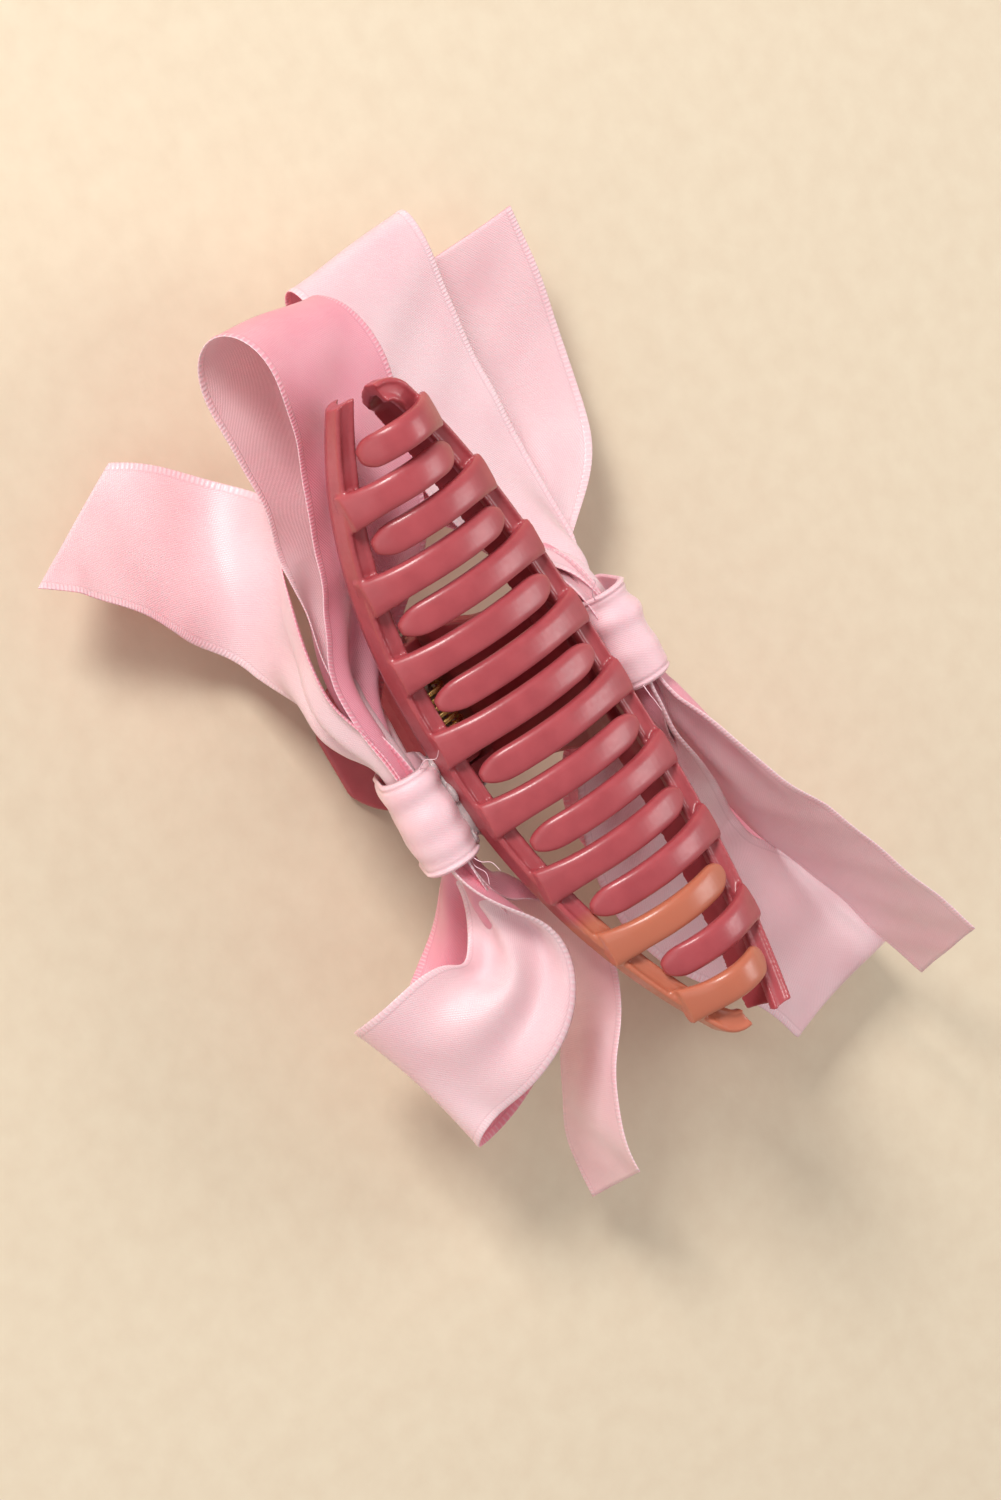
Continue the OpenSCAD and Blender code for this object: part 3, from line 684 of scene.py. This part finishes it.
ROUTES = {
    "left_upper_loop": [
        (LX0, -L3, KNOT_Z, 0, 3, -9, 0.42, 0),
        (-3.5, -19.8, -10, 0, 3, -9, 0.42, 0),
        (-10, -18.7, -11.5, 1, 7, -10, 0.56, 0.5),
        (-16, -15.8, -14.2, 3, 12, -12, 0.74, 1),
        (-23, -10.2, -14.2, 7, 17, -13, 0.94, 1),
        (-31, -5.4, -10.7, 9, 20, -11, 1, 0.6),
        (-42.5, -2.8, -7.2, 9, 20, -10, 1, 0.3),
        (-54, -0.6, -4, 7, 20, -11, 1, 0),
        (-64.5, -1, -1.6, 7, 19, -12, 1, 0),
        (-70.3, -3.2, -4.5, 8, 19, -13, 1, 0),
        (-68.5, -5.5, -10, 7, 19, -13, 1, 0),
        (-57, -6, -16, 7, 19, -13, 1, 0),
        (-43, -5.8, -19, 8, 19, -13, 1, 0.5),
        (-33, -7.6, -21.5, 8, 19, -13, 1, 1),
        (-25.5, -11.6, -21.6, 5, 15, -13, 0.88, 1),
        (-18, -16.4, -19, 2, 10, -12, 0.68, 1),
        (-11, -18.6, -15, 1, 6, -10, 0.54, 0.5),
        (-3.5, -18.4, -10.3, 0, 3, -9, 0.42, 0),
        (LX0, -L2, KNOT_Z, 0, 3, -9, 0.42, 0),
    ],
    "left_upper_tail": [
        (LX0, -L4, KNOT_Z, 0, -3, 9, 0.42, 0),
        (-3.5, -21.3, -10.2, 0, -3, 9, 0.43, 0),
        (-8, -22.6, -12, -3, -2, 9, 0.5, 0),
        (-13.5, -24.5, -15, -5, -2, 11, 0.65, 0.5),
        (-20, -23.2, -18, -9, -3, 17, 0.85, 1),
        (-27, -21, -23.4, -16, 4, 15, 1, 1.5),
        (-34.5, -17.5, -30.8, -18, 14, 4, 1, 1.5),
        (-41.5, -21.5, -34.5, -12, 20, -6, 1, 1),
        (-48.5, -27.5, -33.5, -8, 22, -8, 1, 0.5),
        (-55.5, -36.5, -34, -6, 20, -13, 1, 0),
    ],
    "left_lower_loop": [
        (LX1, -L3, KNOT_Z, 0, -3, 9, 0.42, 0),
        (14.5, -19.6, -9.8, 0, -3, 9, 0.42, 0),
        (22, -18.2, -8.9, -1, -1, 9, 0.44, 0),
        (28, -17.2, -8.9, 3, 7, 7, 0.5, 0.3),
        (33, -18.6, -9, 6, 10, 6, 0.6, 0.8),
        (36.2, -21.6, -9.4, 10, 11, 7, 0.72, 1),
        (37.5, -25.6, -10.2, 13, 12, 7, 0.86, 1),
        (38.5, -30.4, -11.7, 16, 14, 6, 0.97, 0.8),
        (39.8, -35.4, -14.2, 18, 12, 4, 1, 0.3),
        (42, -39.3, -18.8, 20, 9, 3, 1, 0),
        (44.5, -36, -23, 22, 8, 1, 1, 0),
        (44.8, -29, -24.6, 24, 9, 0, 1, 0),
        (40.5, -21.8, -24, 20, 8, 2, 0.97, 0.3),
        (31.5, -18.2, -20, 9, 4, 7, 0.75, 0.5),
        (22.5, -18.5, -14.8, 2, 1, 9, 0.55, 0.3),
        (14.5, -18.6, -10, 0, -3, 9, 0.42, 0),
        (LX1, -L2, KNOT_Z, 0, -3, 9, 0.42, 0),
    ],
    "left_lower_tail": [
        (LX1, -L1, KNOT_Z, 0, -3, 9, 0.42, 0),
        (14.2, -17.2, -9.6, 0, -3, 9, 0.38, 0),
        (18, -16, -12.3, 0, -2, 9, 0.45, 0),
        (20.5, -14, -16.3, 0, 0, 10, 0.56, 0),
        (24.5, -11.2, -19, -1, 1, 16, 0.72, 0.5),
        (30, -7.8, -20.8, -2, 1, 22, 0.9, 1),
        (38, -5.2, -21.6, -4, 0, 24, 1, 1.5),
        (48, -6, -22, -4, -1, 24, 1, 1.5),
        (57, -12.4, -21.8, -4, 0, 24, 1, 1),
        (66, -17.5, -21.4, -6, -1, 24, 1, 0),
        (76, -18.5, -21.5, -9, 0, 23, 1, -1),
    ],
    "right_upper_loop": [
        (RX0, R3, KNOT_Z, 0, 1.5, -9, 0.42, 0),
        (-9.5, 22.3, -10, 0, 1.5, -9, 0.42, 0),
        (-14.5, 22.8, -12.7, 2, 8, -7, 0.62, 0.5),
        (-20, 21, -16, 6, 17, -8, 0.9, 1),
        (-28, 19.8, -18.7, 11, 20, -8, 1, 1),
        (-40, 19, -19.5, 10, 20, -8, 1, 0.8),
        (-52, 18.9, -19.2, 7, 22, -8, 1, 0.4),
        (-63, 19, -17.4, 4, 24, -6, 1, 0),
        (-70.6, 18.6, -18.8, 1, 25, -5, 1, 0),
        (-68, 18.2, -23.6, 3, 24, -6, 1, 0),
        (-55, 19.5, -27, 5, 23, -6, 1, 0.5),
        (-40, 20, -27, 8, 21, -6, 1, 0.5),
        (-27, 20.5, -26, 8, 20, -6, 0.95, 0.5),
        (-17, 21.4, -19.5, 2, 9, -8, 0.64, 0.3),
        (-12.5, 21.7, -12.5, 0, 3, -9, 0.47, 0),
        (-9.5, 21.1, -9.9, 0, 1.5, -9, 0.41, 0),
        (RX0, R2, KNOT_Z, 0, 1.5, -9, 0.42, 0),
    ],
    "right_upper_tail": [
        (RX0, R1, KNOT_Z, 0, 0.9, -9, 0.41, 0),
        (-9, 19.5, -9.9, 0, 1.2, -9, 0.39, 0),
        (-12.2, 19.2, -13.6, 0, 2, -9, 0.43, 0),
        (-16.5, 20.8, -22.9, 1, 9, -8, 0.6, 0.3),
        (-21.5, 27.3, -29.8, 1, 16.5, -5, 0.8, 0.5),
        (-27.5, 33.6, -33, 0, 22, -1, 0.98, 1),
        (-34, 36.5, -35, -1, 24, 0, 1, 1),
        (-47, 38.8, -33.5, -2, 24, 1, 1, 0.5),
        (-61, 38.5, -30, -3, 23, 1, 1, 0),
    ],
    "right_lower_loop": [
        (RX1, R3, KNOT_Z, 0, -1.5, 9, 0.42, 0),
        (8.5, 22.2, -9.8, 0, -1.5, 9, 0.42, 0),
        (12, 21.6, -11, 0, 0, 9, 0.46, 0),
        (16.5, 20.4, -13.5, 0, 5, 9, 0.6, 0.3),
        (24, 17.2, -17.5, 1, 16, 8, 0.82, 0.8),
        (38, 16.7, -21.8, 2, 24, 3, 1, 1),
        (50, 21.3, -25.7, 2, 24, 0, 1, 0.8),
        (58, 28, -27, 1, 24, -2, 1, 0.4),
        (67, 33, -28.5, 1, 24, -3, 1, 0),
        (77, 37, -30, 4, 24, -3, 1, 0),
        (72.5, 36.5, -34.5, 3, 24, -2, 1, 0),
        (62, 34, -36, 1, 24, -1, 1, 0),
        (50, 29, -35, 2, 24, 0, 1, 0),
        (38, 25, -32, 2, 24, 0, 1, 0.5),
        (26, 18.6, -27.8, 1, 17, 3, 0.84, 0.5),
        (16.5, 19, -18.5, 0, 5, 9, 0.62, 0.3),
        (12, 20.2, -12.8, 0, 0, 9, 0.47, 0),
        (8.5, 20.8, -10, 0, -1.5, 9, 0.42, 0),
        (RX1, R2, KNOT_Z, 0, -1.5, 9, 0.42, 0),
    ],
    "right_lower_tail": [
        (RX1, R4, KNOT_Z, 0, -1.5, 9, 0.42, 0),
        (8, 23.8, -10, 0, -1, 9, 0.43, 0),
        (14, 25.5, -10.5, -1, 0, 9, 0.62, 0.5),
        (22, 28, -11.5, -3, -1, 12, 0.85, 1),
        (36, 32.2, -13.2, -8, -1, 22, 1, 1.2),
        (56, 40.7, -13.4, -10, -1, 22, 1, 0.5),
        (76.2, 48.1, -14, -11, -1, 22, 1, 0),
    ],
}
# How much farther a tail's cut reaches on its + edge than on its - edge
CUTS = {
    "left_upper_tail": -13.0,
    "left_lower_tail": -9.0,
    "right_upper_tail": 0.0,
    "right_lower_tail": -11.0,
}
# Ribbons whose satin face is on the other side of their normal
FACE_INSIDE = {"left_upper_tail", "right_upper_loop", "right_upper_tail"}


def catmull_rom(stations, steps=16):
    """A smooth curve through the stations."""
    s = np.array(stations, float)
    last = len(s) - 1
    out = []
    for i in range(last):
        p0, p1, p2, p3 = s[max(i - 1, 0)], s[i], s[i + 1], s[min(i + 2, last)]
        for k in range(steps):
            t = k / steps
            bend = (2 * p0 - 5 * p1 + 4 * p2 - p3) * t**2
            twist = (3 * p1 - p0 - 3 * p2 + p3) * t**3
            out.append(0.5 * (2 * p1 + (p2 - p0) * t + bend + twist))
    out.append(s[-1])
    return np.array(out)


def relaxed(values, rounds):
    """Evens out a curve, keeping its ends."""
    values = values.copy()
    for _ in range(rounds):
        values[1:-1] = (values[:-2] + 2 * values[1:-1] + values[2:]) / 4
    return values


PLEATS = 2
THICK = 0.2
CURVE_ROUNDS, ACROSS_ROUNDS = 40, 60
ROW_STEP = 0.7
SLANT_RUN = 24
# Columns across the ribbon, as shares of its half width, closer together at the selvedges
RIM = np.array([0.91, 0.95, 0.985, 1])
COLUMNS = np.concatenate([-RIM[::-1], np.linspace(-0.87, 0.87, 43), RIM])


def ribbon_surface(stations, cut):
    """Grid of points and UVs of a ribbon: rows along it, columns across it."""
    curve = relaxed(catmull_rom(stations), CURVE_ROUNDS)
    steps = np.linalg.norm(np.diff(curve[:, :3], axis=0), axis=1)
    s = np.concatenate([[0], np.cumsum(steps)])
    length = s[-1]
    even = np.linspace(0, length, int(length / ROW_STEP) + 2)
    curve = np.stack([np.interp(even, s, curve[:, k]) for k in range(8)], axis=1)
    centre = curve[:, :3]
    run = unit(np.gradient(centre, axis=0))
    across = curve[:, 3:6]
    across = unit(across - run * np.sum(across * run, axis=1, keepdims=True))
    across = unit(relaxed(across, ACROSS_ROUNDS))
    normal = np.cross(run, across)
    keep, bow = curve[:, 6] ** 0.8, curve[:, 7]
    reach = length + (cut / 2) * COLUMNS
    rows = len(even)
    points = np.zeros((rows, len(COLUMNS), 3))
    uvs = np.zeros((rows, len(COLUMNS), 2))
    for j, u in enumerate(COLUMNS):
        # Only the last part of a slanted tail is stretched or shortened.
        start = max(0.0, length - SLANT_RUN)
        own = np.where(even < start, even, start + (even - start) * (reach[j] - start) / (length - start))
        c, a, m = (
            np.stack([np.interp(own, even, v[:, k]) for k in range(3)], axis=1)
            for v in (centre, across, normal)
        )
        beyond = np.maximum(own - length, 0)[:, None]
        c = c + run[-1] * beyond
        g, b = np.interp(own, even, keep), np.interp(own, even, bow)
        fold = RIBBON_W * g / (2 * math.pi * PLEATS) * np.sqrt(np.maximum(0, 4 * (1 / g - 1)))
        fold = np.minimum(fold * 0.75, 0.62 + 1.6 * np.clip((g - 0.43) / 0.3, 0, 1))
        wave = fold * math.cos(math.pi * PLEATS * u + 0.6) + b * (1 - u * u)
        loose = np.clip((g - 0.6) / 0.4, 0, 1)
        ripple = loose * (0.22 * np.sin(own * 0.21 + 2.1 * u) + 0.12 * np.sin(own * 0.47 - 3.3 * u + 1.7))
        points[:, j] = c + a * (RIBBON_W / 2 * g * u)[:, None] + m * (wave + ripple)[:, None]
        uvs[:, j, 0] = RIBBON_W / 2 * u
        uvs[:, j, 1] = own
    return points, uvs, length


def ribbon(name, body):
    """One length of ribbon as a thin closed sheet, pale on one side and deep pink on the other: the deep pink
    is partly the satin's duller reverse and partly painted shade for the shaded insides of the loops.
    """
    points, uvs, length = ribbon_surface(ROUTES[name], CUTS.get(name, 0.0))
    rows, cols = points.shape[:2]
    d_along = np.gradient(points, axis=0)
    d_across = np.gradient(points, axis=1)
    normal = unit(np.cross(d_along, d_across))
    # The selvedge is a thicker woven cord just inside each edge.
    edge = 1 - np.abs(COLUMNS)
    cord = 0.9 * np.exp(-(((edge - 0.05) / 0.03) ** 2))
    rim_taper = 0.4 * np.exp(-((edge / 0.012) ** 2))
    thick = THICK * (1 + cord - rim_taper)
    half = (thick / 2)[None, :, None]
    top, bottom = points + normal * half, points - normal * half
    every = np.concatenate([top.reshape(-1, 3), bottom.reshape(-1, 3)])
    base = rows * cols
    faces, sides = [], []
    for i in range(rows - 1):
        for j in range(cols - 1):
            a, b = i * cols + j, i * cols + j + 1
            faces.append((a, a + cols, b + cols, b))
            sides.append(0)
            faces.append((base + a, base + b, base + b + cols, base + a + cols))
            sides.append(1)
    for i in range(rows - 1):
        for j in (0, cols - 1):
            a = i * cols + j
            quad = (a, base + a, base + a + cols, a + cols)
            faces.append(quad if j == 0 else quad[::-1])
            sides.append(0)
    for i in (0, rows - 1):
        for j in range(cols - 1):
            a = i * cols + j
            quad = (a, a + 1, base + a + 1, base + a)
            faces.append(quad if i == 0 else quad[::-1])
            sides.append(0)
    piece = mesh_object(name + "_satin", every, faces, body)
    piece.data.materials.append(SATIN_FACE)
    piece.data.materials.append(SATIN_BACK_PAINTED_SHADE)
    flip = name in FACE_INSIDE
    # Side 1 gets the back material, whose deep pink is partly painted shade.
    piece.data.polygons.foreach_set("material_index", [1 - v if flip else v for v in sides])
    layer = piece.data.uv_layers.new(name="UVMap")
    flat_uv = np.concatenate([uvs.reshape(-1, 2), uvs.reshape(-1, 2)])
    index = np.zeros(len(piece.data.loops), int)
    piece.data.loops.foreach_get("vertex_index", index)
    layer.data.foreach_set("uv", flat_uv[index].ravel())
    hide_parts(name)


for side, body in (("left", "left_half"), ("right", "right_half")):
    for part in ("upper_loop", "lower_loop", "upper_tail", "lower_tail"):
        ribbon(f"{side}_{part}", body)

# ---- knot bands ---------------------------------------------------------------------------------

BAND_W = 16.0
BAND_IN = (7.2, 13.6)
BAND_T = 0.7
KNOTS = {
    "left": {"x": 5.5, "y": -19.4, "tilt": math.radians(18), "side": -1},
    "right": {"x": -0.5, "y": 19.4 + RIGHT_OUT, "tilt": math.radians(9), "side": 1},
}


def at_knot(knot, x, out, up):
    """A point of a knot's own frame: along the jaw, away from the middle plane as +Y, and up."""
    c, s = math.cos(knot["tilt"]), math.sin(knot["tilt"])
    return (knot["x"] + x, knot["y"] + out * c - up * s, KNOT_Z + out * s + up * c)


def stadium(width, height, angle):
    """A point of a rounded slot outline, by angle."""
    r = width / 2
    straight = height / 2 - r
    c, s = math.cos(angle), math.sin(angle)
    return (r * c, r * s + math.copysign(straight, s) * min(1.0, abs(s) * 6))


def band(side, body):
    """The ribbon wound round the gathers, creased along its run and rolled in at both ends."""
    knot = KNOTS[side]
    rng = np.random.default_rng(4 if side == "left" else 9)
    phases = rng.uniform(0, 2 * math.pi, 6)
    around, along = 96, 56
    outer, inner, uv = [], [], []
    for i in range(along + 1):
        t = 2 * i / along - 1
        x = BAND_W / 2 * math.copysign(abs(t) ** 0.85, t)
        for j in range(around):
            a = 2 * math.pi * j / around
            crease = 0.0
            for k, phase in enumerate(phases):
                crease += 0.11 * math.sin((k * 1.6 + 3.5) * t + phase + 0.5 * math.sin(a + phase))
            seam = -0.28 * math.exp(-(((abs(t) - 0.86) / 0.035) ** 2))
            roll = -0.55 * smooth((abs(t) - 0.93) / 0.07)
            swell = 0.35 * (1 - t * t)
            grow = crease + seam + roll + swell
            w, h = BAND_IN[0] + 2 * BAND_T, BAND_IN[1] + 2 * BAND_T
            o = stadium(w + 2 * grow, h + 2 * grow, a)
            n = stadium(BAND_IN[0], BAND_IN[1], a)
            outer.append(at_knot(knot, x, *o))
            inner.append(at_knot(knot, x * 0.98, *n))
            uv.append((t * 11.2, a * 6.5))
    points = np.array(outer + inner)
    base = len(outer)
    faces = []
    for i in range(along):
        for j in range(around):
            a, b = i * around + j, i * around + (j + 1) % around
            faces.append((a, b, b + around, a + around))
            faces.append((base + a, base + a + around, base + b + around, base + b))
    for i in (0, along):
        for j in range(around):
            a, b = i * around + j, i * around + (j + 1) % around
            quad = (a, base + a, base + b, b)
            faces.append(quad if i == 0 else quad[::-1])
    piece = mesh_object(f"{side}_knot_band_satin", points, faces, body)
    piece.data.materials.append(SATIN_FACE)
    layer = piece.data.uv_layers.new(name="UVMap")
    flat_uv = np.array(uv + uv)
    index = np.zeros(len(piece.data.loops), int)
    piece.data.loops.foreach_get("vertex_index", index)
    layer.data.foreach_set("uv", flat_uv[index].ravel())
    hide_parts(f"{side}_knot_band")


for side, body in (("left", "left_half"), ("right", "right_half")):
    band(side, body)

# ---- glue and threads --------------------------------------------------------------------------


GLUE_PAD = (6.0, 1.0, 4.5)
GLUE_OUT = 5.0
GLUE_UP = -0.5
THREAD_R = 0.15
WRAP_SIZE = (6.8, 13.2)


def lump(centre, size, seed, power=1.0):
    """A closed, uneven drop of glue: power below 1 squares it up into a pressed pad."""
    rng = np.random.default_rng(seed)
    waves = rng.uniform(-2.2, 2.2, (5, 3))
    phases = rng.uniform(0, 2 * math.pi, 5)
    rings = []
    for i in range(1, 24):
        polar = math.pi * i / 24
        ring = []
        for j in range(36):
            a = 2 * math.pi * j / 36
            d = np.array([math.sin(polar) * math.cos(a), math.sin(polar) * math.sin(a), math.cos(polar)])
            uneven = 1 + 0.05 * sum(math.sin(2 * float(np.dot(w, d)) + p) for w, p in zip(waves, phases))
            d = np.sign(d) * np.abs(d) ** power
            ring.append(np.array(centre) + d * np.array(size) * uneven)
        rings.append(ring)
    return skin(rings)


def glue(side, body):
    """The pressed pad between the band and the jaw, with drops squeezed out round it."""
    knot = KNOTS[side]
    inward = -knot["side"]
    pad = lump((0, inward * GLUE_OUT, GLUE_UP), GLUE_PAD, 3, 0.45)
    drops = [
        lump((x, inward * out, up), size, seed)
        for x, out, up, size, seed in (
            (-6.2, 4.4, 3.6, (1.5, 0.7, 1.2), 5),
            (6.0, 4.5, 3.2, (1.2, 0.6, 1.5), 6),
            (-1.5, 4.9, 4.3, (1.7, 0.6, 0.9), 7),
        )
    ]
    points, faces = joined([pad] + drops)
    placed = [at_knot(knot, *p) for p in points]
    piece = mesh_object(f"{side}_hot_glue", np.array(placed), faces, body)
    piece.data.materials.append(GLUE)
    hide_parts(f"{side}_glue")
    moulded(piece, 0.2, 3)


def wrapped_thread(side, body):
    """Two turns of thread that draw the ribbons together inside the band."""
    knot = KNOTS[side]
    line = []
    for i in range(193):
        turn = 2.0 * i / 192
        out, up = stadium(*WRAP_SIZE, 2 * math.pi * turn)
        line.append(at_knot(knot, 0.6 * (turn / 2 - 0.5), out, up))
    piece = tube(f"{side}_thread_wraps", line, THREAD_R, body, THREAD)
    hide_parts(f"{side}_gathering_thread")


def loose_strands(side, body, strands):
    """Fine threads frayed from the cut edges of the band."""
    for k, strand in enumerate(strands):
        line = catmull_rom(np.array(strand, float), 10)
        radii = np.linspace(0.09, 0.04, len(line))
        piece = tube(f"{side}_frayed_strand_{k}", line, radii, body, THREAD, 8)


for side, body in (("left", "left_half"), ("right", "right_half")):
    glue(side, body)
    wrapped_thread(side, body)

loose_strands("left", "left_half", [
    [(-2.2, -19.2, -3.4), (-3.4, -18.4, -1.6), (-3.2, -17.6, 0.6), (-4.4, -17.2, 2.2)],
    [(12.6, -19.0, -4.0), (14.4, -18.4, -2.6), (15.0, -17.6, -0.8), (16.6, -17.4, 0.2)],
    [(12.9, -18.4, -5.0), (14.8, -18.9, -4.2), (16.6, -18.2, -3.4), (18.2, -18.9, -2.8)],
])
loose_strands("right", "right_half", [
    [(-8.2, 18.8, -3.2), (-9.8, 18.2, -1.4), (-11.2, 18.6, 0.4), (-12.2, 17.9, 1.8)],
    [(7.2, 19.0, -3.4), (8.8, 18.6, -2.0), (9.2, 17.9, 0.0), (10.8, 17.6, 1.2)],
])

# ---- floor, light and camera ------------------------------------------------------------------


FLOOR_HALF = 2.2
FLOOR_GAP = 0.0002
LENS = 86.4
CAMERA_AT = (-129.0, -199.4, 477.6)
CAMERA_RIGHT = (0.481, 0.761, 0.436)
CAMERA_BACK = (-0.246, -0.361, 0.900)
WORLD_COLOUR = (1.0, 0.97, 0.94, 1.0)
WORLD_STRENGTH = 0.42


def floor():
    """A plain card that the clip stands on."""
    size = FLOOR_HALF
    corners = [(-size, -size, 0), (size, -size, 0), (size, size, 0), (-size, size, 0)]
    mesh = bpy.data.meshes.new("floor")
    mesh.from_pydata(corners, [], [(0, 1, 2, 3)])
    obj = bpy.data.objects.new("floor", mesh)
    obj.location = (0, 0, float(cad_box[0][2]) - FLOOR_GAP)
    bpy.context.scene.collection.objects.link(obj)
    obj.data.materials.append(floor_paper("floor_card"))


def area_light(name, toward, distance, size, power, colour):
    """A soft square light that looks at the clip from the given direction."""
    data = bpy.data.lights.new(name, "AREA")
    data.shape = "SQUARE"
    data.size = size
    data.energy = power
    data.color = colour
    obj = bpy.data.objects.new(name, data)
    target = Vector(CLIP_ORIGIN)
    direction = Vector(toward).normalized()
    obj.location = target + direction * distance
    obj.rotation_euler = direction.to_track_quat("Z", "Y").to_euler()
    bpy.context.scene.collection.objects.link(obj)


def camera():
    """Looks down on the teeth, in the directions of the clip's own axes."""
    data = bpy.data.cameras.new("camera")
    data.lens = LENS
    data.sensor_width = 36.0
    data.clip_start = 0.01
    right, back = Vector(CAMERA_RIGHT), Vector(CAMERA_BACK)
    back.normalize()
    right = (right - back * right.dot(back)).normalized()
    up = back.cross(right)
    turn = Matrix((right, up, back)).transposed().to_4x4()
    obj = bpy.data.objects.new("camera", data)
    obj.matrix_world = Matrix.Translation(Vector(clip_to_row(CAMERA_AT))) @ turn
    bpy.context.scene.collection.objects.link(obj)
    bpy.context.scene.camera = obj


floor()
area_light("key", (-0.70, -0.22, 0.62), 0.9, 0.24, 7.0, (1.0, 0.98, 0.95))
area_light("fill", (0.25, 0.82, 0.53), 1.0, 0.45, 3.2, (1.0, 0.98, 0.97))
area_light("front", (-0.15, -0.85, 0.50), 1.0, 0.7, 1.6, (1.0, 0.98, 0.97))
world = bpy.data.worlds.new("studio")
world.use_nodes = True
background = world.node_tree.nodes["Background"]
background.inputs[0].default_value = WORLD_COLOUR
background.inputs[1].default_value = WORLD_STRENGTH
bpy.context.scene.world = world
bpy.context.scene.view_settings.view_transform = "Standard"
camera()
